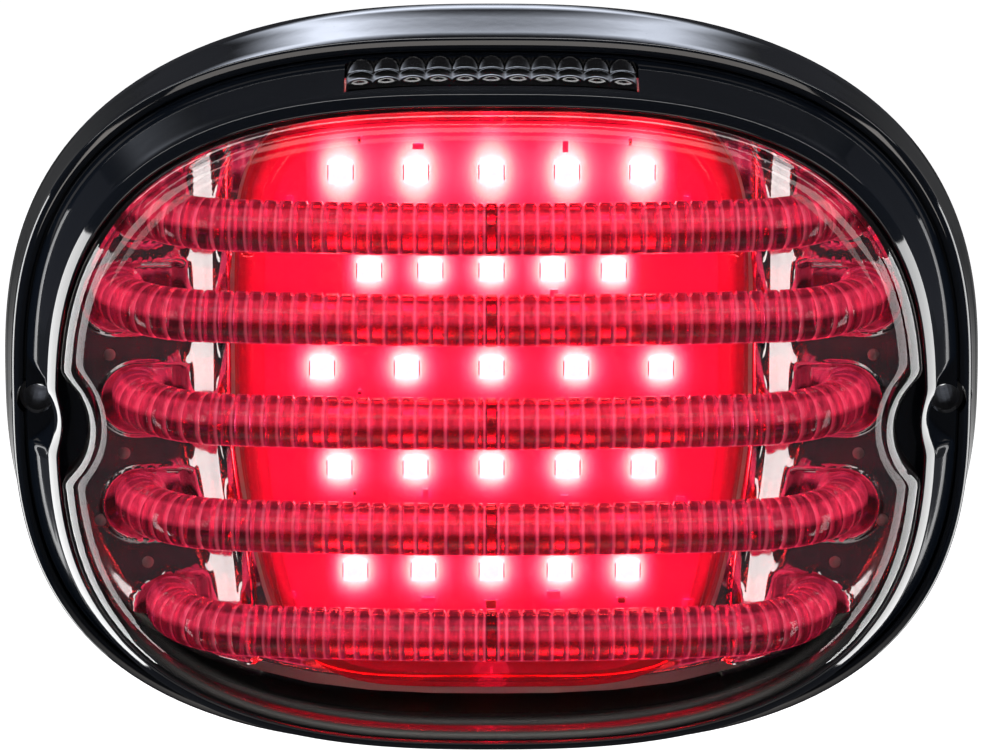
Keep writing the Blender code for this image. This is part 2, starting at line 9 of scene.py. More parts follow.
import bmesh
import bpy
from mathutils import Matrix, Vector


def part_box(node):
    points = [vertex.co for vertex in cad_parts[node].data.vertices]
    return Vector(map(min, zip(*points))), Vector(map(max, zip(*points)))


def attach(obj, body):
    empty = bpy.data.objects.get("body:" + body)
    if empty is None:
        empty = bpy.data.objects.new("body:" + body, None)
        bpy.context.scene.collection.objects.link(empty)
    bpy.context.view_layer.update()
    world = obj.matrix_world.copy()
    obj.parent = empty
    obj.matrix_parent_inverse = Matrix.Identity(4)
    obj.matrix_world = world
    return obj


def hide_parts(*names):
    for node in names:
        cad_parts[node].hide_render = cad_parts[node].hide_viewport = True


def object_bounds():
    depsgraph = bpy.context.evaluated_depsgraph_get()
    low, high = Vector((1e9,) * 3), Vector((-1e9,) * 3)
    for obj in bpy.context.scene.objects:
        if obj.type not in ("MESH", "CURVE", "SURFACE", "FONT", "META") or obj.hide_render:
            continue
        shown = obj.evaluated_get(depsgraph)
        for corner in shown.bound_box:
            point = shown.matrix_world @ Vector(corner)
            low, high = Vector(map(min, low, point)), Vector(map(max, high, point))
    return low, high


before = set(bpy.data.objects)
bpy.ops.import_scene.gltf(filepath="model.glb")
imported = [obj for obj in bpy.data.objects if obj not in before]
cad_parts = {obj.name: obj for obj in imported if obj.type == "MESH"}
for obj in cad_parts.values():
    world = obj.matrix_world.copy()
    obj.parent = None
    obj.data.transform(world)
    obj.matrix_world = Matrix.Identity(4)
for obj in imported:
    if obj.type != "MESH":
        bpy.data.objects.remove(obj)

cad_low, cad_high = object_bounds()

MM = 0.001
GAP = 0.3
BODY = "root"

# Outline, which the CAD model's box gives
HALF_WIDTH = cad_high.x / MM
HALF_HEIGHT = cad_high.z / MM
FRONT_DEPTH = -cad_low.y / MM
BACK_SQUARENESS = 2.5
SQUARENESS = 2.75
RING_POINTS = 288
SIDE_CROWDING = 0.33

# Housing
SKIRT_DEPTH = -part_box("rear_housing")[0].y / MM
SKIRT_DRAFT = 2.0
BACK_EDGE_RADIUS = 0.8
LIP_INSET = 3.6
LIP_FALL = 0.55
LIP_CREST = 2.9
LEDGE_INSET = 6.0
LEDGE_DEPTH = 13.0
LEDGE_STEP = 1.6
FLOOR = 2.6
SCREW_POST_RADIUS = 3.9
SLEEVE_RADIUS = 3.0
BOARD_POST_RADIUS = 3.2

# Front surface, bezel and lens
BOW_ACROSS = 6.0
BOW_UP = 2.5
BEZEL_FOOT_HALF = (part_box("bezel")[1].x / MM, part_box("bezel")[1].z / MM)
RIM_OUTER_HALF = (62.4, 47.7)
RIM_INNER_HALF = (60.8, 46.3)
BEZEL_LEDGE_HALF = (59.2, 45.0)
RIM_BACK = 4.3
BEZEL_LEDGE_BACK = 7.6
BEZEL_WALL = 1.7
LENS_HALF = (60.4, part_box("outer_lens")[1].z / MM)
LENS_FACE_HALF = (56.6, 42.7)
LENS_WALL = 1.5
LENS_FOOT_BACK = 6.5
LENS_SHOULDER = 3.0
LENS_HOLLOW_DRAFT = 2.6

# Screw pockets
POCKET_RADIUS = 6.3
POCKET_AXIS_X = 67.6
SCALLOP_RADIUS = 9.6
SCALLOP_AXIS_X = 66.3
CORNER_BLEND = 1.4
SCREW_X = 64.5
SCREW_HOLE_RADIUS = 2.15

# Board and light sources
BOARD_FRONT = -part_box("circuit_board")[0].y / MM
BOARD_THICKNESS = 1.6
LED_ROWS = 5
LEDS_PER_ROW = 5

# Light bars
BARS = 5
BAR_RADIUS = 3.7
BAR_BOW = 4.2
BAR_BEND = 12.5
BAR_DROP = 11.0
BAR_FOOT_DEPTH = 9.4
BAR_FRONT_DEPTH = 30.4

# Red lens
RED_BASE_HALF = (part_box("red_lens")[1].x / MM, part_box("red_lens")[1].z / MM)
RED_FRONT_HALF = (33.8, 41.8)
RED_SQUARENESS = 5.0
RED_BASE_DEPTH = 9.6
RED_FRONT_DEPTH = -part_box("red_lens")[0].y / MM
RED_WALL = 1.5
RED_BOW_RADIUS = 450.0
RED_EDGE_RADIUS = 1.0
RED_CLEARANCE = 0.4
NARROWING = 0.085
NARROW_REACH = 34.0

# Reflector
REFLECTOR_RIM_HALF = (60.6, 43.4)
REFLECTOR_WALL = 1.3

# Licence-plate light
LICENCE_HALF_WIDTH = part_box("licence_light_guide")[1].x / MM
LICENCE_FLUTES = 11
LICENCE_DEPTHS = (17.0, 26.0)
LICENCE_FLUTE_HEIGHT = 0.45
LICENCE_STEM = (44.0, 45.1)
LICENCE_BACK = 9.4
# Ridges across each flute: height, then place and width as shares of the flute's length
LICENCE_RIDGES = ((0.16, 0.52, 0.045), (0.14, 0.80, 0.04))

# Back
GASKET_INSETS = (9.8, 12.2)
GASKET_GROOVE = 1.2
GROMMET_HEIGHT = -18.0
GROMMET_HOLE = 6.5
VENT_PLACE = (26.0, -18.0)
VENT_HOLE = 3.0


# ---------------------------------------------------------------- shapes


def middle(node):
    """Centre of a CAD node's box as (x, depth, z) in millimetres."""
    low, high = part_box(node)
    centre = (low + high) / 2.0 / MM
    return centre.x, -centre.y, centre.z


def ring_angles(count=RING_POINTS, crowding=SIDE_CROWDING):
    """Angles once round, closer together where the outline crosses the X axis."""
    steps = [2.0 * math.pi * i / count for i in range(count)]
    return [step - crowding * math.sin(2.0 * step) for step in steps]


def superellipse(angle, half, squareness):
    """Point of a superellipse in the direction of an angle, as (x, z)."""
    across = abs(math.cos(angle) / half[0]) ** squareness
    upward = abs(math.sin(angle) / half[1]) ** squareness
    reach = (across + upward) ** (-1.0 / squareness)
    return reach * math.cos(angle), reach * math.sin(angle)


def inset_ring(inset, depth, angles):
    """Ring of the light's own outline, moved inwards. It squares up towards the skirt's front."""
    half = (HALF_WIDTH - inset, HALF_HEIGHT - inset)
    share = min(max(depth / SKIRT_DEPTH, 0.0), 1.0)
    squareness = BACK_SQUARENESS + (SQUARENESS - BACK_SQUARENESS) * share
    points = [superellipse(angle, half, squareness) for angle in angles]
    return [(x, -depth, z) for x, z in points]


def front_depth(x, z):
    """Depth of the light's bowed front surface."""
    return FRONT_DEPTH - BOW_ACROSS * (x / HALF_WIDTH) ** 2 - BOW_UP * (z / HALF_HEIGHT) ** 2


def hollowed(x, z, axis_x, radius):
    """Moves x inwards where an upright round hollow beside the light reaches it."""
    if abs(z) >= radius + CORNER_BLEND:
        return x
    limit = axis_x - math.sqrt(max(radius**2 - z**2, 0.0))
    size = abs(x)
    blend = max(CORNER_BLEND - abs(size - limit), 0.0) / CORNER_BLEND
    return math.copysign(min(size, limit) - blend**2 * CORNER_BLEND / 4.0, x)


def front_ring(half, back, angles, hollow=None, depth=None):
    """Ring a distance behind the bowed front, or at one depth. hollow is (axis x, radius)."""
    ring = []
    for angle in angles:
        x, z = superellipse(angle, half, SQUARENESS)
        if hollow:
            x = hollowed(x, z, *hollow)
        ring.append((x, -(front_depth(x, z) - back if depth is None else depth), z))
    return ring


def pocket(wall=0.0):
    return POCKET_AXIS_X, POCKET_RADIUS + wall


def scallop(wall=0.0):
    return SCALLOP_AXIS_X, SCALLOP_RADIUS + wall


def shrunk(half, wall):
    return half[0] - wall, half[1] - wall


def between(start, end, share):
    return tuple(a + (b - a) * share for a, b in zip(start, end))


def blend_rings(first, last, steps):
    """The rings between two rings of equally many points, both ends left out."""
    rings = []
    for i in range(1, steps):
        rings.append([between(a, b, i / steps) for a, b in zip(first, last)])
    return rings


def smoothstep(low, high, value):
    share = min(max((value - low) / (high - low), 0.0), 1.0)
    return share * share * (3.0 - 2.0 * share)


def add_rings(mesh, rings, wrap=False):
    """Joins rings of equally many points with quads. A ring of one point closes to a tip."""
    rows = [[mesh.verts.new([value * MM for value in point]) for point in ring] for ring in rings]
    pairs = list(zip(rows, rows[1:]))
    if wrap:
        pairs.append((rows[-1], rows[0]))
    for first, second in pairs:
        count = max(len(first), len(second))
        for i in range(count):
            j = (i + 1) % count
            corners = []
            for row, places in ((first, (i, j)), (second, (j, i))):
                corners += [row[place] for place in places] if len(row) > 1 else [row[0]]
            mesh.faces.new(corners)
    return rows


def add_capped(mesh, rings):
    rows = add_rings(mesh, rings)
    for row in (rows[0], rows[-1]):
        if len(row) > 1:
            mesh.faces.new(row)
    return rows


def add_cylinder(mesh, centre, radius, depths, sides=40):
    turned(mesh, [(radius, depths[0]), (radius, depths[1])], centre, sides, capped=True)


def turned(mesh, profile, centre=(0.0, 0.0), sides=64, wrap=False, capped=False):
    """Adds a turned body whose axis runs along Y. The profile is (radius, depth) pairs."""
    rings = []
    for radius, depth in profile:
        if radius == 0.0:
            rings.append([(centre[0], -depth, centre[1])])
            continue
        turns = [2.0 * math.pi * i / sides for i in range(sides)]
        rings.append(
            [(centre[0] + radius * math.cos(t), -depth, centre[1] + radius * math.sin(t)) for t in turns]
        )
    if capped:
        return add_capped(mesh, rings)
    return add_rings(mesh, rings, wrap)


def add_block(mesh, low, high, bevel=0.0):
    """Adds a box between two corners given as (x, depth, z), its edges bevelled."""
    corners = [(low[0], low[2]), (high[0], low[2]), (high[0], high[2]), (low[0], high[2])]
    rings = [[(x, -depth, z) for x, z in corners] for depth in (low[1], high[1])]
    rows = add_capped(mesh, rings)
    if bevel:
        corner_set = set(rows[0] + rows[1])
        edges = {edge for corner in corner_set for edge in corner.link_edges}
        bmesh.ops.bevel(mesh, geom=list(edges), offset=bevel * MM, segments=2, affect="EDGES")


def rounded_corner(corner, before, after, radius, steps=6):
    """Points of a round corner between two straight runs of a profile."""
    corner = Vector(corner)
    start = (Vector(before) - corner).normalized() * radius
    end = (Vector(after) - corner).normalized() * radius
    points = []
    for i in range(steps + 1):
        share = i / steps
        points.append(tuple(corner + start * (1.0 - share) ** 2 + end * share**2))
    return points


def add_object(name, data):
    thing = bpy.data.objects.new(name, data)
    bpy.context.scene.collection.objects.link(thing)
    return thing


def smooth(data, sharp_angle):
    data.shade_smooth()
    data.set_sharp_from_angle(angle=math.radians(sharp_angle))


def make_object(name, mesh, finish, sharp_angle=40.0):
    """Closes a bmesh into a named object with its faces pointing out."""
    bmesh.ops.recalc_face_normals(mesh, faces=mesh.faces[:])
    data = bpy.data.meshes.new(name)
    mesh.to_mesh(data)
    mesh.free()
    smooth(data, sharp_angle)
    thing = add_object(name, data)
    if finish:
        data.materials.append(finish)
    return thing


def place(thing, slot, *nodes):
    """Makes a piece ride on the light's one body and stand for CAD nodes."""
    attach(thing, BODY)
    if nodes:
        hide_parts(*nodes)
    return thing


def cut(thing, cutter_mesh, operation="DIFFERENCE"):
    """Cuts a helper body out of a thing, or joins it on, and applies that to the mesh."""
    helper = make_object("helper", cutter_mesh, None)
    step = thing.modifiers.new("cut", "BOOLEAN")
    step.operation = operation
    step.solver = "EXACT"
    step.object = helper
    bpy.context.view_layer.update()
    graph = bpy.context.evaluated_depsgraph_get()
    result = bpy.data.meshes.new_from_object(thing.evaluated_get(graph), depsgraph=graph)
    thing.modifiers.clear()
    finish = thing.data.materials[0]
    thing.data = result
    result.materials.clear()
    result.materials.append(finish)
    smooth(result, 35.0)
    bpy.data.objects.remove(helper, do_unlink=True)


# ---------------------------------------------------------------- materials


class Nodes:
    """A material's node tree, with short ways to add what the finishes here are made of."""

    def __init__(self, name):
        self.material = bpy.data.materials.new(name)
        self.material.use_nodes = True
        self.tree = self.material.node_tree
        self.shader = self.tree.nodes["Principled BSDF"]
        self.output = self.tree.nodes["Material Output"]
        self.place = self.add("ShaderNodeTexCoord").outputs["Object"]

    def add(self, kind, **settings):
        node = self.tree.nodes.new(kind)
        for name, value in settings.items():
            setattr(node, name, value)
        return node

    def link(self, source, target):
        self.tree.links.new(source, target)

    def feed(self, socket, value):
        if isinstance(value, bpy.types.NodeSocket):
            self.link(value, socket)
        else:
            socket.default_value = value

    def set(self, **sockets):
        """Feeds sockets of the shader, whose names are written with _ for each space."""
        for name, value in sockets.items():
            self.feed(self.shader.inputs[name.replace("_", " ")], value)

    def parts(self):
        """The place on the piece as separate X, Y and Z, in metres."""
        node = self.add("ShaderNodeSeparateXYZ")
        self.link(self.place, node.inputs[0])
        return [node.outputs[axis] for axis in "XYZ"]

    def noise(self, size, detail=3.0, rough=0.55, stretch=(1.0, 1.0, 1.0), kind="ShaderNodeTexNoise"):
        """Noise whose grains are about size millimetres, as one value from 0 to 1."""
        mapping = self.add("ShaderNodeMapping")
        mapping.inputs["Scale"].default_value = [1.0 / (size * MM * s) for s in stretch]
        self.link(self.place, mapping.inputs["Vector"])
        noise = self.add(kind)
        noise.inputs["Scale"].default_value = 1.0
        if kind == "ShaderNodeTexNoise":
            noise.inputs["Detail"].default_value = detail
            noise.inputs["Roughness"].default_value = rough
        self.link(mapping.outputs[0], noise.inputs["Vector"])
        return noise.outputs[0]

    def spread(self, value, low, high, start=0.0, end=1.0):
        """Maps a value from one range to another, and holds it there."""
        node = self.add("ShaderNodeMapRange")
        for name, number in (("From Min", start), ("From Max", end), ("To Min", low), ("To Max", high)):
            self.feed(node.inputs[name], number)
        self.feed(node.inputs["Value"], value)
        return node.outputs["Result"]

    def colours(self, value, first, second):
        node = self.add("ShaderNodeMix", data_type="RGBA")
        self.feed(node.inputs[0], value)
        node.inputs[6].default_value = (*first, 1.0)
        node.inputs[7].default_value = (*second, 1.0)
        return node.outputs[2]

    def math(self, operation, first, second=0.0, third=0.0):
        node = self.add("ShaderNodeMath", operation=operation)
        for socket, value in zip(node.inputs, (first, second, third)):
            self.feed(socket, value)
        return node.outputs[0]

    def times(self, first, *others):
        for other in others:
            first = self.math("MULTIPLY", first, other)
        return first

    def hill(self, squared, width):
        """Bell curve of a squared distance: 1 at no distance, and about a third at the width."""
        return self.math("EXPONENT", self.times(squared, -1.0 / width**2))

    def bump(self, height, millimetres):
        node = self.add("ShaderNodeBump")
        node.inputs["Strength"].default_value = 1.0
        node.inputs["Distance"].default_value = millimetres * MM
        self.link(height, node.inputs["Height"])
        return node.outputs["Normal"]

    def attribute(self, name):
        return self.add("ShaderNodeAttribute", attribute_name=name).outputs["Fac"]


def plain_finish(name, dark, light, roughness, metallic=0.0, grain=1.2, height=0.01):
    """A solid finish: two close colours mottled together, varied roughness and a fine bump."""
    nodes = Nodes(name)
    rub = nodes.noise(grain * 3.0, detail=5.0)
    nodes.set(
        Base_Color=nodes.colours(nodes.noise(grain * 6.0), dark, light),
        Roughness=nodes.spread(rub, *roughness, 0.3, 0.7),
        Metallic=metallic,
        Normal=nodes.bump(nodes.noise(grain), height),
    )
    return nodes.material


SQUARE_ON_MIRROR = 0.04  # share of light that clear plastic mirrors when it is seen square on
EDGE_GLOW = (1.0, 0.004, 0.06, 1.0)


def see_through(name, tint, thick_tint, roughness, most=1.0, glow=0.0):
    """Clear tinted plastic: a deeper tint and a stronger mirror where it is seen edge on.

    most caps the mirror's share, and glow is the strength of the red light in its edges.
    """
    nodes = Nodes(name)
    rub = nodes.noise(4.0, detail=5.0)
    normal = nodes.bump(nodes.noise(9.0, detail=1.0), 0.002)
    nodes.set(
        Base_Color=(0.95, 0.95, 0.95, 1.0),
        Metallic=1.0,
        Roughness=nodes.spread(rub, *roughness, 0.3, 0.7),
        Normal=normal,
    )
    facing = nodes.add("ShaderNodeLayerWeight")
    facing.inputs["Blend"].default_value = 0.35
    clear = nodes.add("ShaderNodeBsdfTransparent")
    mottle = nodes.spread(nodes.noise(14.0), 0.0, 0.12)
    edge = nodes.math("ADD", facing.outputs["Facing"], mottle)
    nodes.link(nodes.colours(edge, tint, thick_tint), clear.inputs["Color"])
    grazing = nodes.add("ShaderNodeLayerWeight")
    grazing.inputs["Blend"].default_value = 0.5
    nodes.link(normal, grazing.inputs["Normal"])
    steep = nodes.math("POWER", grazing.outputs["Facing"], 5.0)
    mirrored = nodes.math("MULTIPLY_ADD", steep, 1.0 - SQUARE_ON_MIRROR, SQUARE_ON_MIRROR)
    mix = nodes.add("ShaderNodeMixShader")
    nodes.link(nodes.math("MINIMUM", mirrored, most), mix.inputs[0])
    nodes.link(clear.outputs[0], mix.inputs[1])
    nodes.link(nodes.shader.outputs[0], mix.inputs[2])
    shine = nodes.add("ShaderNodeEmission")
    shine.inputs["Color"].default_value = EDGE_GLOW
    nodes.link(nodes.times(edge, glow), shine.inputs["Strength"])
    total = nodes.add("ShaderNodeAddShader")
    nodes.link(mix.outputs[0], total.inputs[0])
    nodes.link(shine.outputs[0], total.inputs[1])
    nodes.link(total.outputs[0], nodes.output.inputs["Surface"])
    return nodes.material


def gloss_black():
    """High-gloss black moulding with the faint orange peel and dust that such plastic has."""
    nodes = Nodes("gloss_black")
    haze = nodes.spread(nodes.noise(12.0, detail=6.0, rough=0.6), 0.035, 0.085, 0.35, 0.7)
    specks = nodes.spread(nodes.noise(0.35, detail=1.0), 0.0, 0.10, 0.70, 0.80)
    nodes.set(
        Base_Color=nodes.colours(nodes.noise(20.0), (0.0018, 0.0026, 0.0045), (0.0035, 0.005, 0.008)),
        Roughness=nodes.math("ADD", haze, specks),
        Normal=nodes.bump(nodes.noise(2.6, detail=1.0), 0.004),
        IOR=1.52,
    )
    return nodes.material


def mirror_plastic():
    """Vacuum-metallised plastic: a near-perfect mirror with slight waves."""
    nodes = Nodes("mirror_plastic")
    smear = nodes.noise(3.0, detail=6.0)
    nodes.set(
        Metallic=1.0,
        Base_Color=nodes.colours(nodes.noise(8.0), (0.74, 0.74, 0.76), (0.86, 0.86, 0.87)),
        Roughness=nodes.spread(smear, 0.03, 0.11, 0.35, 0.75),
        Normal=nodes.bump(nodes.noise(3.5, detail=2.0), 0.02),
    )
    return nodes.material


def red_rod():
    """Clear red acrylic of the light bars, with glowing lines at the grooves: painted light above and
    painted shade below, in the glow and in the tint.
    """
    nodes = Nodes("red_rod")
    line, end, gate, high = (nodes.attribute(name) for name in ("line", "end", "gate", "high"))
    # Painted shade: the tint darkens towards the rod's underside, and the plain middle band, a dark joint,
    # is darker too.
    shade = nodes.math("MAXIMUM", gate, nodes.spread(high, 1.0, 0.0, -0.05, 0.25))
    streak = nodes.spread(nodes.noise(1.3, detail=4.0, stretch=(0.6, 1.0, 2.5)), 0.55, 1.35, 0.3, 0.7)
    # Painted light: the glow is strongest above the rod's middle, dims at its crown and comes back faintly
    # at its underside.
    painted_light_above = nodes.spread(high, 0.0, 1.0, 0.02, 0.24)
    crown = nodes.spread(high, 1.0, 0.2, 0.76, 0.86)
    painted_light_below = nodes.spread(high, 0.5, 0.0, -0.88, -0.78)
    body = nodes.math("ADD", nodes.times(painted_light_above, crown, 0.68), nodes.math("ADD", painted_light_below, 0.04))
    body = nodes.times(body, streak, nodes.math("SUBTRACT", 1.0, nodes.times(end, 0.40)))
    glow = nodes.math("ADD", body, nodes.times(line, 0.46))
    nodes.set(
        Base_Color=nodes.colours(shade, (0.48, 0.06, 0.15), (0.13, 0.003, 0.03)),
        Roughness=nodes.spread(nodes.noise(3.0), 0.01, 0.05, 0.3, 0.7),
        IOR=1.49,
        Transmission_Weight=0.94,
        Emission_Color=nodes.colours(line, (1.0, 0.045, 0.12), (1.0, 0.11, 0.20)),
        Emission_Strength=nodes.times(glow, nodes.math("SUBTRACT", 1.0, nodes.times(gate, 0.9))),
    )
    return nodes.material


GLOW_HALF = (35.2, 41.5)  # of the lit part of the board, inside the red lens
GLOW_FOOT = (-40.5, -37.5)  # heights between which the board's light fades towards the foot
POOL_WIDTH = 2.55  # of the light round one source
ROW_GLOW_WIDTH = 3.4
POOL_STRENGTH = 42.0


def lit_board():
    """White solder mask with faint copper tracks under it, and painted light on it: an even glow over the
    part inside the red lens, fading towards the foot, and a pool of light round every light source.
    """
    nodes = Nodes("lit_board")
    x, y, z = nodes.parts()
    from_middle = nodes.math("ABSOLUTE", x)
    pool = None
    for row in range(1, LED_ROWS + 1):
        first, second = middle(f"led_row{row}_1"), middle(f"led_row{row}_2")
        pitch = (second[0] - first[0]) * MM
        row_end = pitch * LEDS_PER_ROW / 2.0
        inside = nodes.spread(from_middle, 1.0, 0.0, row_end - 2.6 * MM, row_end - 0.2 * MM)
        off = nodes.math("PINGPONG", nodes.math("ADD", x, pitch * LEDS_PER_ROW), pitch / 2.0)
        tall, row_glow = (0.62, 0.13) if row == 1 else (0.9, 0.035)
        up = nodes.times(nodes.math("SUBTRACT", z, first[2] * MM), tall)
        up = nodes.times(up, up)
        fall = nodes.hill(nodes.math("ADD", nodes.times(off, off), up), POOL_WIDTH * MM)
        fall = nodes.math("MULTIPLY_ADD", nodes.hill(up, ROW_GLOW_WIDTH * MM), row_glow, fall)
        spot = nodes.times(fall, inside)
        pool = spot if pool is None else nodes.math("ADD", pool, spot)
    mottle = nodes.noise(6.0, detail=4.0)
    tracks = nodes.noise(2.4, detail=0.0, kind="ShaderNodeTexVoronoi")
    sideways = nodes.math("DIVIDE", from_middle, nodes.spread(z, 0.915, 1.0, -NARROW_REACH * MM, 0.0))
    shares = []
    for distance, half in zip((sideways, nodes.math("ABSOLUTE", z)), GLOW_HALF):
        shares.append(nodes.math("POWER", nodes.math("DIVIDE", distance, half * MM), RED_SQUARENESS))
    inside = nodes.spread(nodes.math("ADD", *shares), 1.0, 0.0, 0.86, 1.0)
    glow = nodes.math("ADD", nodes.spread(mottle, 1.5, 2.1), nodes.times(pool, POOL_STRENGTH))
    above_foot = nodes.spread(z, 0.10, 1.0, GLOW_FOOT[0] * MM, GLOW_FOOT[1] * MM)
    front_only = nodes.math("LESS_THAN", y, (0.6 - BOARD_FRONT) * MM)
    nodes.set(
        Base_Color=nodes.colours(mottle, (0.62, 0.60, 0.58), (0.78, 0.76, 0.74)),
        Roughness=nodes.spread(mottle, 0.35, 0.55),
        Normal=nodes.bump(tracks, 0.06),
        Emission_Color=nodes.colours(nodes.times(pool, 2.2), (1.0, 0.008, 0.54), (1.0, 1.0, 0.66)),
        Emission_Strength=nodes.times(glow, inside, above_foot, front_only),
    )
    return nodes.material


def glowing(name, colour, strength):
    """A finish that shines in one colour, slightly uneven."""
    nodes = Nodes(name)
    grain = nodes.noise(0.6)
    nodes.set(
        Base_Color=(1.0, 0.9, 0.9, 1.0),
        Roughness=nodes.spread(grain, 0.3, 0.5),
        Emission_Strength=nodes.spread(grain, strength * 0.85, strength * 1.15),
        Emission_Color=nodes.colours(grain, colour, [0.97 * part for part in colour]),
    )
    return nodes.material


def greys(low, high):
    return (low, low, low), (high, high, high)


black = gloss_black()
mirror = mirror_plastic()
smoked = see_through("smoked_lens", (0.79, 0.78, 0.78), (0.50, 0.50, 0.52), (0.01, 0.04))
red_clear = see_through("red_tray", (0.99, 0.22, 0.27), (0.86, 0.10, 0.14), (0.02, 0.06), 0.5, 0.06)
rod = red_rod()
window = see_through("smoked_window", (0.20, 0.21, 0.23), (0.05, 0.055, 0.065), (0.05, 0.12))
board_finish = lit_board()
led_case = plain_finish("led_case", (0.78, 0.76, 0.72), (0.88, 0.86, 0.82), (0.3, 0.5), grain=0.4)
lit_case = glowing("lit_case", (1.0, 0.95, 0.8), 40.0)
# Painted light: the board's small parts and its screws glow pink, as if lit by the board's light.
lit_part = glowing("lit_part", (1.0, 0.12, 0.75), 2.6)
led_window = glowing("led_window", (1.0, 1.0, 0.82), 48.0)
bar_led_window = glowing("bar_led_window", (1.0, 0.10, 0.12), 12.0)
off_window = plain_finish("led_phosphor", (0.80, 0.62, 0.10), (0.88, 0.72, 0.18), (0.3, 0.5), grain=0.3)
dark_steel = plain_finish("dark_steel", (0.05, 0.05, 0.055), (0.11, 0.11, 0.115), (0.4, 0.6), 1.0, 0.5)
rubber = plain_finish("rubber", *greys(0.012, 0.03), (0.7, 0.9), grain=0.5, height=0.03)
nylon = plain_finish("nylon", (0.66, 0.63, 0.54), (0.78, 0.75, 0.66), (0.4, 0.6), grain=0.6)
pin_grey = plain_finish("pin_grey", (0.42, 0.41, 0.40), (0.56, 0.55, 0.54), (0.12, 0.25), grain=0.3)
tin = plain_finish("tin", (0.70, 0.70, 0.68), (0.85, 0.85, 0.84), (0.2, 0.4), 1.0, 0.3)


# ---------------------------------------------------------------- housing and bezel


def make_housing():
    """Black tub with a flared skirt, its edges rounded as they come from the mould."""
    angles = ring_angles()
    front = SKIRT_DEPTH
    edge = BACK_EDGE_RADIUS
    section = [(edge, 0.0)]
    section += rounded_corner((0.0, 0.0), (edge, 0.0), (0.0, edge), edge)[1:]
    section += [(SKIRT_DRAFT * share, front * share) for share in (0.2, 0.4, 0.6, 0.8)]
    rise = (SKIRT_DRAFT - 0.1, front - LIP_FALL)
    crest, lip = (LIP_CREST, front), (LIP_INSET, front)
    section += rounded_corner(rise, (SKIRT_DRAFT - 0.25, front - LIP_FALL - 1.0), crest, 0.4)
    section += rounded_corner(crest, rise, lip, 0.2, 3)
    section += rounded_corner(lip, crest, (LIP_INSET, front - 1.0), 0.2, 3)
    section += [
        (LIP_INSET, LEDGE_DEPTH),
        (LEDGE_INSET, LEDGE_DEPTH),
        (LEDGE_INSET, LEDGE_DEPTH - LEDGE_STEP),
        (LIP_INSET, LEDGE_DEPTH - 3.0 - LEDGE_STEP),
        (3.0, FLOOR),
    ]
    mesh = bmesh.new()
    add_capped(mesh, [inset_ring(*spot, angles) for spot in section])
    housing = make_object("housing_shell", mesh, black)

    posts = bmesh.new()
    for side in (-1, 1):
        add_cylinder(posts, (side * SCREW_X, 0.0), SCREW_POST_RADIUS, (FLOOR - 1.0, LEDGE_DEPTH - 0.2))
    for word in ("upper", "lower"):
        x, _, z = middle(f"board_screw_{word}")
        post_top = BOARD_FRONT - BOARD_THICKNESS - GAP
        add_cylinder(posts, (x, z), BOARD_POST_RADIUS, (FLOOR - 1.0, post_top))
    cut(housing, posts, "UNION")

    holes = bmesh.new()
    for side in (-1, 1):
        add_cylinder(holes, (side * SCREW_X, 0.0), SLEEVE_RADIUS, (-1.0, front + 1.0))
    add_cylinder(holes, (0.0, GROMMET_HEIGHT), GROMMET_HOLE, (-1.0, FLOOR + 1.0))
    add_cylinder(holes, VENT_PLACE, VENT_HOLE, (-1.0, FLOOR + 1.0))
    cut(housing, holes)

    groove = bmesh.new()
    low, high = GASKET_INSETS[0] - GAP, GASKET_INSETS[1] + GAP
    section = ((low, -1.0), (high, -1.0), (high, GASKET_GROOVE), (low, GASKET_GROOVE))
    add_rings(groove, [inset_ring(*spot, angles) for spot in section], wrap=True)
    cut(housing, groove)
    place(housing, "housing", "rear_housing")


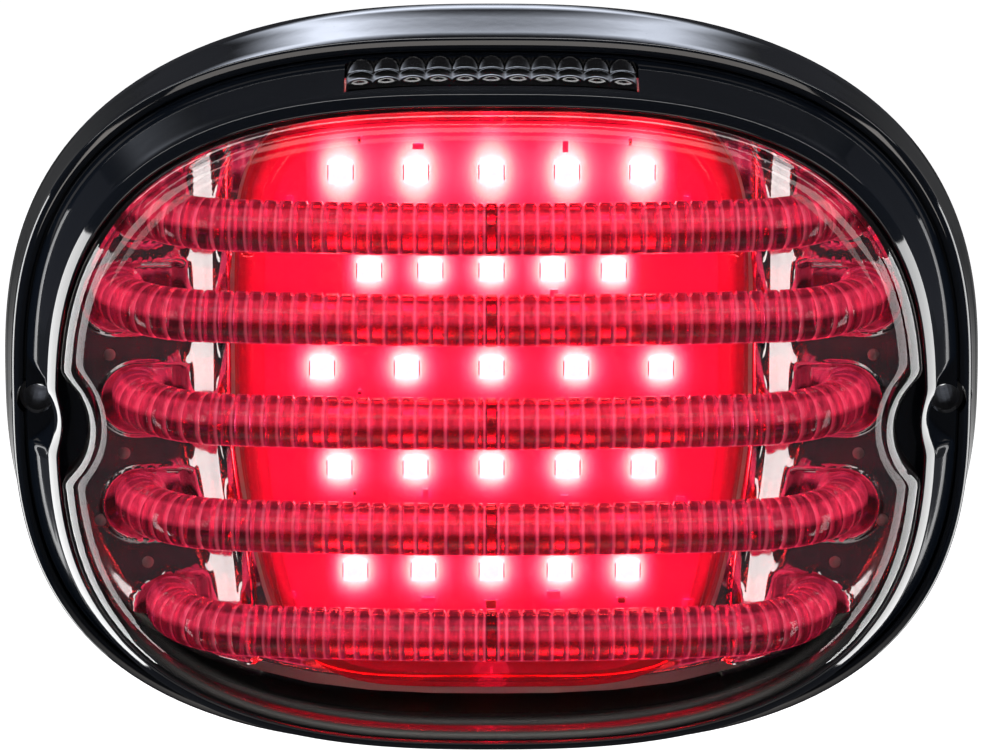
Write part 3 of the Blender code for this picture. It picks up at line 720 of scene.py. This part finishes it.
def make_bezel():
    """Black ring: flat foot, sloped wall, rounded rim, and the ledge that carries the lens."""
    angles = ring_angles()
    foot_depth = LEDGE_DEPTH + GAP
    foot = front_ring(shrunk(BEZEL_FOOT_HALF, 0.15), 0.0, angles, pocket(-0.3), SKIRT_DEPTH)
    shoulder = front_ring(RIM_OUTER_HALF, RIM_BACK + 1.5, angles, pocket())
    rings = [
        front_ring(BEZEL_FOOT_HALF, 0.0, angles, depth=foot_depth),
        front_ring(BEZEL_FOOT_HALF, 0.0, angles, depth=SKIRT_DEPTH - 0.15),
        front_ring(shrunk(BEZEL_FOOT_HALF, 0.1), 0.0, angles, depth=SKIRT_DEPTH),
        foot,
    ]
    rings += blend_rings(foot, shoulder, 9)
    crest = rounded_corner((0.0, 1.3), (-1.0, 5.0), (1.4, 0.0), 0.15, 3)
    crest += [(0.35, 0.93), (0.7, 0.58), (1.05, 0.28)]
    crest += rounded_corner((1.4, 0.0), (1.05, 0.28), (1.6, 0.3), 0.25, 4)
    crest += [(1.6, 0.5), (1.6, 1.3)]
    for inward, back in crest:
        half = shrunk(RIM_OUTER_HALF, inward)
        rings.append(front_ring(half, RIM_BACK + back, angles, pocket(0.7 * inward)))
    inner_foot = shrunk(BEZEL_FOOT_HALF, BEZEL_WALL)
    rings += [
        front_ring(RIM_INNER_HALF, BEZEL_LEDGE_BACK, angles, pocket(1.1)),
        front_ring(BEZEL_LEDGE_HALF, BEZEL_LEDGE_BACK, angles, scallop(1.2)),
        front_ring(BEZEL_LEDGE_HALF, BEZEL_LEDGE_BACK + 1.2, angles, scallop(1.2)),
        front_ring(shrunk(RIM_INNER_HALF, 0.3), BEZEL_LEDGE_BACK + 1.8, angles, pocket(BEZEL_WALL + 0.5)),
        front_ring(inner_foot, 0.0, angles, pocket(BEZEL_WALL + 0.5), foot_depth),
    ]
    mesh = bmesh.new()
    add_rings(mesh, rings, wrap=True)
    bezel = make_object("bezel_ring", mesh, black)

    openings = bmesh.new()
    for side in (-1, 1):
        reach = (foot_depth - 1.0, SKIRT_DEPTH + 1.0)
        add_cylinder(openings, (side * SCREW_X, 0.0), SCREW_HOLE_RADIUS, reach)
    low = (-LICENCE_HALF_WIDTH - GAP, LICENCE_DEPTHS[0] - GAP, HALF_HEIGHT - 10.0)
    high = (LICENCE_HALF_WIDTH + GAP, LICENCE_DEPTHS[1] + GAP, HALF_HEIGHT)
    add_block(openings, low, high)
    cut(bezel, openings)
    place(bezel, "bezel", "bezel")


# ---------------------------------------------------------------- lenses


def make_lens():
    """Smoked outer lens: short wall, rounded shoulder and bowed front, scalloped at the sides."""
    angles = ring_angles()

    def surface(wall):
        foot = shrunk(LENS_HALF, wall)
        rings = [front_ring(foot, LENS_FOOT_BACK, angles, scallop(wall))]
        rings.append(front_ring(foot, 4.0, angles, scallop(wall)))
        steps = 12
        for i in range(steps + 1):
            turn = math.pi / 2.0 * i / steps
            share = (1.0 - math.cos(turn)) ** 0.9
            half = shrunk(between(LENS_HALF, LENS_FACE_HALF, share), wall)
            back = wall + LENS_SHOULDER * (1.0 - math.sin(turn))
            rings.append(front_ring(half, back, angles, scallop(wall + LENS_HOLLOW_DRAFT * share)))
        for share in (0.9, 0.78, 0.64, 0.5, 0.36, 0.22, 0.1):
            half = (LENS_FACE_HALF[0] * share, LENS_FACE_HALF[1] * share)
            hollow = scallop(wall + LENS_HOLLOW_DRAFT) if share > 0.8 else None
            rings.append(front_ring(half, wall, angles, hollow))
        rings.append([(0.0, -(FRONT_DEPTH - wall), 0.0)])
        return rings

    mesh = bmesh.new()
    add_rings(mesh, surface(LENS_WALL)[::-1] + surface(0.0))
    lens = make_object("smoked_lens", mesh, smoked)
    place(lens, "outer_lens", "outer_lens")


def make_lens_seal():
    angles = ring_angles()
    back, front = BEZEL_LEDGE_BACK - GAP, LENS_FOOT_BACK + GAP
    wide, narrow = shrunk(LENS_HALF, 0.1), shrunk(BEZEL_LEDGE_HALF, -0.1)
    rings = [
        front_ring(wide, back, angles, scallop(0.1)),
        front_ring(narrow, back, angles, scallop(1.1)),
        front_ring(narrow, front, angles, scallop(1.1)),
        front_ring(wide, front, angles, scallop(0.1)),
    ]
    mesh = bmesh.new()
    add_rings(mesh, rings, wrap=True)
    seal = make_object("seal_ring", mesh, rubber)
    place(seal, "rubber", "lens_seal")


def narrowed(x, z):
    """Draws x in towards the foot of the light, where the red lens is narrower."""
    return x * (1.0 - NARROWING * smoothstep(0.0, NARROW_REACH, -z))


def make_red_lens():
    """Red tray lens, narrower towards its lower edge."""
    angles = ring_angles(200, 0.0)

    def ring(half, depth, bow_radius=math.inf):
        points = [superellipse(angle, half, RED_SQUARENESS) for angle in angles]
        return [(narrowed(x, z), -(depth - x**2 / (2.0 * bow_radius)), z) for x, z in points]

    def surface(wall):
        front = RED_FRONT_DEPTH - wall
        base = ring(shrunk(RED_BASE_HALF, wall), RED_BASE_DEPTH)
        edge = ring(shrunk(RED_FRONT_HALF, wall), front - RED_EDGE_RADIUS, RED_BOW_RADIUS)
        rings = [base] + blend_rings(base, edge, 5) + [edge]
        for i in range(1, 6):
            turn = math.pi / 2.0 * i / 5
            half = shrunk(RED_FRONT_HALF, wall + RED_EDGE_RADIUS * (1.0 - math.cos(turn)))
            depth = front - RED_EDGE_RADIUS * (1.0 - math.sin(turn))
            rings.append(ring(half, depth, RED_BOW_RADIUS))
        for share in (0.8, 0.6, 0.4, 0.2):
            half = (RED_FRONT_HALF[0] * share, RED_FRONT_HALF[1] * share)
            rings.append(ring(half, front, RED_BOW_RADIUS))
        rings.append([(0.0, -front, 0.0)])
        return rings

    mesh = bmesh.new()
    add_rings(mesh, surface(RED_WALL)[::-1] + surface(0.0))
    lens = make_object("red_tray", mesh, red_clear)
    place(lens, "red_lens", "red_lens")


# ---------------------------------------------------------------- light bars


def bar_seats():
    """Height and half span of each bar, from the frame."""
    seats = []
    for number in range(1, BARS + 1):
        low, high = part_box(f"light_bar_{number}")
        seats.append(((low.z + high.z) / 2.0 / MM, high.x / MM - BAR_RADIUS))
    return seats


SEATS = bar_seats()


def bar_line(span):
    """Points (x, depth) of a bar's axis from foot to foot: a bowed run with a round bend at each end."""
    start = span - BAR_BEND
    rough = [(start * i / 60.0) for i in range(60)]
    rough += [start + BAR_BEND * math.sin(math.pi / 2.0 * i / 60.0) for i in range(61)]
    points = []
    for x in rough:
        depth = BAR_FRONT_DEPTH - BAR_BOW * (x / span) ** 2
        share = max((x - start) / BAR_BEND, 0.0)
        depth -= BAR_DROP * (1.0 - math.sqrt(max(1.0 - min(share, 1.0) ** 2, 0.0)))
        points.append((x, depth))
    points.append((span, BAR_FOOT_DEPTH))
    return [(-x, depth) for x, depth in points[:0:-1]] + points


def resampled(points, spacing):
    """A polyline's points at even spacing, as (x, depth, way from its middle)."""
    ways = [0.0]
    for a, b in zip(points, points[1:]):
        ways.append(ways[-1] + math.dist(a, b))
    count = int(ways[-1] / spacing)
    found, k = [], 0
    for i in range(count + 1):
        way = ways[-1] * i / count
        while k < len(ways) - 2 and ways[k + 1] < way:
            k += 1
        share = (way - ways[k]) / (ways[k + 1] - ways[k])
        x, depth = between(points[k], points[k + 1], share)
        found.append((x, depth, way - ways[-1] / 2.0))
    return found


RIB_PITCH = 2.12
RIB_DEPTH = 0.55
GROOVE_HALF = 0.24  # half the width of the groove between two ribs
GATE_HALF = 0.95  # half the width of the plain band at the middle of a bar
SMOOTH_END = 7.6  # length of a bar's smooth leg, along the bar


def rib_marks(way, half_way):
    """How deep in a groove, how near a bright line, how far in the smooth end and in the middle band."""
    offset = abs((way + RIB_PITCH / 2.0) % RIB_PITCH - RIB_PITCH / 2.0)
    end = smoothstep(half_way - SMOOTH_END - 0.8, half_way - SMOOTH_END, abs(way))
    gate = 1.0 - smoothstep(GATE_HALF - 0.2, GATE_HALF, abs(way))
    if abs(way) < GATE_HALF + 0.7:
        offset = abs(abs(way) - GATE_HALF)
    groove = (1.0 - smoothstep(GROOVE_HALF * 0.3, GROOVE_HALF * 1.3, offset)) * (1.0 - end)
    line = (1.0 - smoothstep(0.1, 0.28, offset)) * (1.0 - end)
    return groove, line, end, gate


def make_bar(number, sides=36):
    """Round red rod with ribs round its back and sides, and all round in its bends, smooth at its feet."""
    height, span = SEATS[number - 1]
    axis = resampled(bar_line(span), RIB_PITCH / 14.0)
    mesh = bmesh.new()
    layers = [mesh.verts.layers.float.new(name) for name in ("line", "end", "gate", "high")]
    rings, marks = [], []
    for i, (x, depth, way) in enumerate(axis):
        before, after = axis[max(i - 1, 0)], axis[min(i + 1, len(axis) - 1)]
        run = (after[0] - before[0], after[1] - before[1])
        length = math.hypot(*run)
        across = (-run[1] / length, run[0] / length)
        groove, line, end, gate = rib_marks(way, axis[-1][2])
        bend = smoothstep(span - BAR_BEND, span - BAR_BEND + 5.0, abs(x))
        ring, mark = [], []
        for turn in (2.0 * math.pi * j / sides for j in range(sides)):
            behind = max(smoothstep(-0.45, 0.25, -math.cos(turn)), bend)
            radius = BAR_RADIUS - RIB_DEPTH * groove * behind
            out = radius * math.cos(turn)
            ring.append((x + across[0] * out, -(depth + across[1] * out), height + radius * math.sin(turn)))
            mark.append((line, end, gate, math.sin(turn)))
        rings.append(ring)
        marks.append(mark)
    rows = add_capped(mesh, rings)
    for row, mark in zip(rows, marks):
        for corner, values in zip(row, mark):
            for layer, value in zip(layers, values):
                corner[layer] = value
    bar = make_object(f"red_bar_{number}", mesh, rod, sharp_angle=60.0)
    place(bar, "light_bar", f"light_bar_{number}")


# ---------------------------------------------------------------- reflector


SEAT_REACH = 13.0  # how far a slot runs inwards from its bar's leg
SEAT_RADIUS = 4.9
STEP_WIDTH = 8.5  # of the curved wall beside the red lens


def stadium(x, z, seat):
    """Distance outside the rounded slot round a bar's leg, negative inside it."""
    height, span = seat
    along = min(max(abs(x), span - SEAT_REACH), span)
    return math.hypot(abs(x) - along, z - height) - SEAT_RADIUS


# Depths of the wall beside the red lens, as (distance out from it, depth)
WALL_PROFILE = ((0.0, 11.0), (0.3, 14.6), (2.4, 14.9), (3.7, 15.5), (5.2, 16.1), (6.6, 16.4), (8.5, 16.5))
LOUVRE_TILT = math.tan(math.radians(14.5))
LOUVRE_SHIFT = 3.9  # how far below its bar a louvre ends, out of sight behind the bar
SLOT_DEPTH = 3.6
SLOT_LIP = 0.45
PIN_RADIUS = 0.85
PINS = ((54.0, 7.2), (52.1, -7.4), (55.6, -17.0), (49.0, -23.6))


def wall_depth(out):
    """Depth of the stepped wall beside the red lens, a distance out from it."""
    for (start, low), (end, high) in zip(WALL_PROFILE, WALL_PROFILE[1:]):
        if out < end:
            return low + (high - low) * max(out - start, 0.0) / (end - start)
    return WALL_PROFILE[-1][1]


def louvre_depth(z):
    """Rise of the tilted facets beside the red lens, one facet facing up between every two bars."""
    ends = [height - LOUVRE_SHIFT for height, _ in SEATS]
    ends = [ends[0] + 15.0] + ends + [ends[-1] - 15.0]
    for top, bottom in zip(ends, ends[1:]):
        if bottom <= z <= top:
            rise = LOUVRE_TILT * ((top + bottom) / 2.0 - z)
            return rise * smoothstep(0.0, 2.2, top - z) * smoothstep(0.0, 2.2, z - bottom)
    return 0.0


def reflector_depth(x, z):
    """Depth of the bright surface: a stepped wall, then a shelf with a slot for every bar's end."""
    out = abs(x) - narrowed(RED_BASE_HALF[0] + RED_CLEARANCE, z)
    depth = wall_depth(out)
    depth += louvre_depth(z) * smoothstep(0.6, 2.2, out) * (1.0 - smoothstep(5.0, 8.0, out))
    depth += 2.2 * smoothstep(9.0, 24.0, out)
    depth += 0.6 * smoothstep(0.955, 1.0, rim_share(x, z))
    shelf = smoothstep(STEP_WIDTH, STEP_WIDTH + 3.0, out)
    distance = nearest_seat(x, z)
    sunk = (1.0 - smoothstep(-1.4, 0.0, distance)) * smoothstep(STEP_WIDTH - 3.0, STEP_WIDTH, out)
    depth -= SLOT_DEPTH * sunk
    depth += SLOT_LIP * math.exp(-((distance - 0.25) / 0.34) ** 2) * shelf
    return depth


def rim_share(x, z):
    """0 at the middle of the light and 1 at the reflector's outer edge."""
    across = abs(x / REFLECTOR_RIM_HALF[0]) ** SQUARENESS
    upward = abs(z / REFLECTOR_RIM_HALF[1]) ** SQUARENESS
    return (across + upward) ** (1.0 / SQUARENESS)


def nearest_seat(x, z):
    return min(stadium(x, z, seat) for seat in SEATS)


def make_reflector():
    """Bright bowl between the red lens and the wall of the light."""
    angles = ring_angles(640, 0.40)
    inner_half = shrunk(RED_BASE_HALF, -RED_CLEARANCE)
    steps = 90
    front, back = [], []
    for i in range(steps + 1):
        row, behind = [], []
        for angle in angles:
            start = superellipse(angle, inner_half, RED_SQUARENESS)
            start = (narrowed(*start), start[1])
            end = superellipse(angle, REFLECTOR_RIM_HALF, SQUARENESS)
            end = (hollowed(*end, *pocket(BEZEL_WALL + 1.4)), end[1])
            x, z = between(start, end, i / steps)
            depth = reflector_depth(x, z)
            row.append((x, -depth, z))
            behind.append((x, -(depth - REFLECTOR_WALL), z))
        front.append(row)
        back.append(behind)
    mesh = bmesh.new()
    add_rings(mesh, front + back[::-1], wrap=True)
    reflector = make_object("bright_reflector", mesh, mirror, sharp_angle=70.0)
    place(reflector, "reflector", "reflector")

    pins = bmesh.new()
    for side in (-1, 1):
        for x, z in PINS:
            foot = reflector_depth(x, z)
            profile = [(0.0, foot - GAP), (PIN_RADIUS, foot - GAP), (PIN_RADIUS, foot + 0.15)]
            profile += [(0.7, foot + 0.4), (0.4, foot + 0.55), (0.0, foot + 0.6)]
            turned(pins, profile, (side * x, z), sides=24)
    place(make_object("reflector_pins", pins, pin_grey), "reflector")


# ---------------------------------------------------------------- board and its parts


def make_board():
    """Gives the CAD model's board its lit finish."""
    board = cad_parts["circuit_board"]
    board.data.materials.clear()
    board.data.materials.append(board_finish)


def paint_from(mesh, start, index):
    """Gives the faces from a count onwards the finish at an index of the list."""
    mesh.faces.ensure_lookup_table()
    for face in mesh.faces[start:]:
        face.material_index = index


def make_led_mesh(name, case, lit_window):
    """One light source about its own centre: bevelled case, round lit window and two pads."""
    mesh = bmesh.new()
    add_block(mesh, (-1.7, 0.0, -1.5), (1.7, 0.8, 1.5), bevel=0.12)
    window_from = len(mesh.faces)
    turned(mesh, [(1.25, 0.8), (1.25, 0.86), (1.05, 0.97), (0.0, 1.0)], sides=32)
    paint_from(mesh, window_from, 1)
    pads_from = len(mesh.faces)
    for side in (-1, 1):
        add_block(mesh, (side * 1.75 - 0.12, -0.1, -1.1), (side * 1.75 + 0.12, 0.45, 1.1), bevel=0.05)
    paint_from(mesh, pads_from, 2)
    bmesh.ops.recalc_face_normals(mesh, faces=mesh.faces[:])
    data = bpy.data.meshes.new(name)
    mesh.to_mesh(data)
    mesh.free()
    smooth(data, 40.0)
    for finish in (case, lit_window, tin):
        data.materials.append(finish)
    return data


def add_led(node, data):
    """Puts a copy of a light source where its CAD node is."""
    x, _, z = middle(node)
    low = -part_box(node)[1].y
    led = add_object(node + "_detail", data)
    led.location = (x * MM, -low, z * MM)
    place(led, "led", node)


def make_leds():
    lit = make_led_mesh("lit_led", lit_case, led_window)
    side = make_led_mesh("side_led", led_case, bar_led_window)
    white = make_led_mesh("white_led", led_case, off_window)
    for row in range(1, LED_ROWS + 1):
        for column in range(1, LEDS_PER_ROW + 1):
            add_led(f"led_row{row}_{column}", lit)
    for number in range(1, BARS + 1):
        for word in ("left", "right"):
            add_led(f"bar_led_{number}_{word}", side)
    for word in ("left", "right"):
        add_led(f"licence_led_{word}", white)


def make_board_parts():
    """Small parts of three sizes above and below every row of light sources."""
    chance = random.Random(7)
    mesh = bmesh.new()
    finishes = (lit_part, led_case, lit_part)
    rows = sorted((middle(f"led_row{row}_1")[2] for row in range(1, LED_ROWS + 1)), reverse=True)
    for height in rows:
        for column in range(-3, 4):
            x = column * 9.4 + chance.uniform(-1.2, 1.2)
            z = height + chance.choice((-1.0, 1.0)) * chance.uniform(3.6, 5.4)
            size = chance.choice(((1.6, 0.8), (2.0, 1.2), (1.0, 0.5)))
            upright = chance.random() < 0.4
            half = (size[1] / 2, size[0] / 2) if upright else (size[0] / 2, size[1] / 2)
            base = BOARD_FRONT + 0.05
            for part, inset, index in ((0.0, 0.0, 0), (0.08, 0.28, 1 + (column % 2))):
                inset_x, inset_z = (0.0, inset) if upright else (inset, 0.0)
                start = len(mesh.faces)
                add_block(
                    mesh,
                    (x - half[0] + inset_x, base, z - half[1] + inset_z),
                    (x + half[0] - inset_x, base + 0.5 + part, z + half[1] - inset_z),
                    bevel=0.04,
                )
                paint_from(mesh, start, index)
    parts = make_object("board_parts", mesh, None)
    for finish in finishes:
        parts.data.materials.append(finish)
    place(parts, "circuit_board")


def make_licence_guide():
    """Smoked clear guide whose outer face is fluted."""
    steps = 16 * LICENCE_FLUTES
    rise = front_depth(0.0, RIM_OUTER_HALF[1]) - RIM_BACK - 1.3 - SKIRT_DEPTH
    slope = (BEZEL_FOOT_HALF[1] - RIM_OUTER_HALF[1]) / rise
    mesh = bmesh.new()
    rings = []
    for i in range(steps + 1):
        x = LICENCE_HALF_WIDTH * (2.0 * i / steps - 1.0)
        flute = LICENCE_FLUTE_HEIGHT * abs(math.sin(math.pi * LICENCE_FLUTES * i / steps)) ** 0.8
        fall = 1.0 - (1.0 - (abs(x) / BEZEL_FOOT_HALF[0]) ** SQUARENESS) ** (1.0 / SQUARENESS)
        drop = BEZEL_FOOT_HALF[1] * fall
        top = BEZEL_FOOT_HALF[1] - drop
        stem_low, stem_high = (height - drop for height in LICENCE_STEM)
        points = [(LICENCE_BACK, stem_low), (LICENCE_BACK, stem_high), (LICENCE_DEPTHS[0], stem_high)]
        for k in range(33):
            share = k / 32.0
            depth = LICENCE_DEPTHS[0] + (LICENCE_DEPTHS[1] - LICENCE_DEPTHS[0]) * share
            up = 1.0 - smoothstep(0.72, 1.0, share)
            for ridge, where, width in LICENCE_RIDGES:
                up += ridge / LICENCE_FLUTE_HEIGHT * math.exp(-(((share - where) / width) ** 2))
            points.append((depth, top + flute * up - slope * (depth - SKIRT_DEPTH)))
        points.append((LICENCE_DEPTHS[1], 45.2 - drop))
        rings.append([(x, -depth, z) for depth, z in points])
    add_capped(mesh, rings)
    guide = make_object("fluted_window", mesh, window)
    place(guide, "licence_light_guide", "licence_light_guide")


# ---------------------------------------------------------------- back


def make_gasket():
    angles = ring_angles()
    low, high = GASKET_INSETS
    depth = GASKET_GROOVE - GAP
    section = [(low, depth), (low, 0.25)]
    section += rounded_corner((low, 0.0), (low, 0.25), (low + 0.25, 0.0), 0.25, 3)[1:]
    section += rounded_corner((high, 0.0), (high - 0.25, 0.0), (high, 0.25), 0.25, 3)
    section += [(high, depth)]
    mesh = bmesh.new()
    add_rings(mesh, [inset_ring(*spot, angles) for spot in section], wrap=True)
    gasket = make_object("gasket_ring", mesh, rubber)
    place(gasket, "rubber", "mounting_gasket")


def refinish(node, finish):
    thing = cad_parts[node]
    thing.data.materials.clear()
    thing.data.materials.append(finish)
    smooth(thing.data, 35.0)


make_housing()
make_bezel()
make_lens()
make_lens_seal()
make_red_lens()
for bar_number in range(1, BARS + 1):
    make_bar(bar_number)
make_reflector()
make_board()
make_leds()
make_board_parts()
make_licence_guide()
make_gasket()
for kept, kept_finish in (
    ("screw_sleeve_left", dark_steel),
    ("screw_sleeve_right", dark_steel),
    # Painted light: the board screws glow pink with the lit_part finish.
    ("board_screw_upper", lit_part),
    ("board_screw_lower", lit_part),
    ("wire_grommet", rubber),
    ("vent_plug", rubber),
    ("wire_header", nylon),
):
    refinish(kept, kept_finish)


# ---------------------------------------------------------------- stage


SHEET_CORNERS = ((-1, -1), (1, -1), (1, 1), (-1, 1))


def add_sheet(name, half):
    """Flat rectangle about its own centre, in metres."""
    data = bpy.data.meshes.new(name)
    corners = [(side_x * half[0], side_y * half[1], 0.0) for side_x, side_y in SHEET_CORNERS]
    data.from_pydata(corners, [], [(0, 1, 2, 3)])
    return add_object(name, data)


def make_floor():
    """Wide pale floor well below the light, which hangs in the air as its mudguard holds it."""
    floor = add_sheet("floor", (8.0, 8.0))
    floor.location = (0.0, 0.0, -0.4)
    nodes = Nodes("pale_floor")
    tone = nodes.colours(nodes.noise(400.0), *greys(0.93, 0.95))
    nodes.set(Base_Color=tone, Emission_Color=tone, Emission_Strength=1.05, Roughness=0.9)
    floor.data.materials.append(nodes.material)
    floor.visible_glossy = False
    floor.visible_diffuse = False


def add_panel(name, place_at, look_at, size, radiance, colour=(1.0, 1.0, 1.0)):
    """Soft rectangular lamp that faces a point, as bright per area as radiance says."""
    lamp = bpy.data.lights.new(name, "AREA")
    lamp.shape = "RECTANGLE"
    lamp.size, lamp.size_y = size
    lamp.energy = radiance * math.pi * size[0] * size[1]
    lamp.color = colour
    thing = add_object(name, lamp)
    thing.location = place_at
    thing.rotation_euler = (Vector(look_at) - Vector(place_at)).to_track_quat("-Z", "Y").to_euler()


def add_glow_card(name, place_at, look_at, size, radiance, colour=(1.0, 1.0, 1.0)):
    """Card with a soft edge, seen in the gloss only: brightest at its middle, fading to nothing."""
    half = (size[0] / 2.0, size[1] / 2.0)
    card = add_sheet(name, half)
    card.location = place_at
    card.rotation_euler = (Vector(look_at) - Vector(place_at)).to_track_quat("Z", "Y").to_euler()
    nodes = Nodes(name)
    fades = []
    for way, reach in zip(nodes.parts(), half):
        fade = nodes.spread(nodes.math("ABSOLUTE", way), 1.0, 0.0, 0.1 * reach, reach)
        fades.append(nodes.times(fade, fade))
    nodes.set(
        Base_Color=(0.0, 0.0, 0.0, 1.0),
        Emission_Color=(*colour, 1.0),
        Emission_Strength=nodes.times(*fades, radiance),
    )
    card.data.materials.append(nodes.material)
    card.visible_camera = False
    card.visible_diffuse = False
    card.visible_shadow = False


WARM = (1.0, 0.94, 0.89)
COOL = (0.80, 0.86, 1.0)


def make_lights():
    centre = (0.0, -0.02, 0.0)
    add_panel("left_softbox", (-0.80, 0.06, -0.485), (0.0, 0.06, -0.485), (0.50, 1.43), 11.5)
    add_panel("right_softbox", (0.80, 0.06, -0.50), (0.0, 0.06, -0.50), (0.60, 1.38), 9.0)
    for word, side in (("left", -1.0), ("right", 1.0)):
        add_panel(word + "_card", (side * 0.55, -0.70, 0.22), centre, (0.27, 0.44), 4.0, WARM)
        add_glow_card(word + "_streak", (side * 0.42, 0.77, -0.02), centre, (0.30, 0.46), 0.3, WARM)
    add_panel("top_softbox", (0.0, -0.62, 0.62), centre, (0.9, 0.30), 2.6, WARM)
    add_panel("top_strip", (0.0, 0.30, 0.75), centre, (2.4, 0.14), 7.0)
    add_glow_card("low_card", (0.0, -0.40, -0.70), centre, (1.8, 1.1), 2.4, WARM)
    add_glow_card("rear_card", (0.0, 0.90, -0.26), centre, (0.7, 0.40), 1.6)
    add_glow_card("back_glow", (-0.04, 0.775, 0.40), centre, (1.3, 0.22), 5.4, COOL)


def make_world():
    world = bpy.data.worlds.new("dim_studio")
    world.use_nodes = True
    shade = world.node_tree.nodes["Background"]
    shade.inputs["Color"].default_value = (0.055, 0.055, 0.060, 1.0)
    shade.inputs["Strength"].default_value = 1.0
    bpy.context.scene.world = world


CAMERA_ELEVATION = math.radians(15.5)
CAMERA_DISTANCE = 1.0
CAMERA_TARGET = Vector((0.0, -0.018, 0.004))
CAMERA_SENSOR = 36.0
CAMERA_LENS = 258.9


def make_camera():
    camera = bpy.data.cameras.new("camera")
    camera.sensor_width = CAMERA_SENSOR
    camera.lens = CAMERA_LENS
    thing = add_object("camera", camera)
    back = Vector((0.0, -math.cos(CAMERA_ELEVATION), math.sin(CAMERA_ELEVATION)))
    thing.location = CAMERA_TARGET + back * CAMERA_DISTANCE
    thing.rotation_euler = (-back).to_track_quat("-Z", "Y").to_euler()
    bpy.context.scene.camera = thing


make_floor()
make_lights()
make_world()
make_camera()
bpy.context.scene.view_settings.view_transform = "Standard"
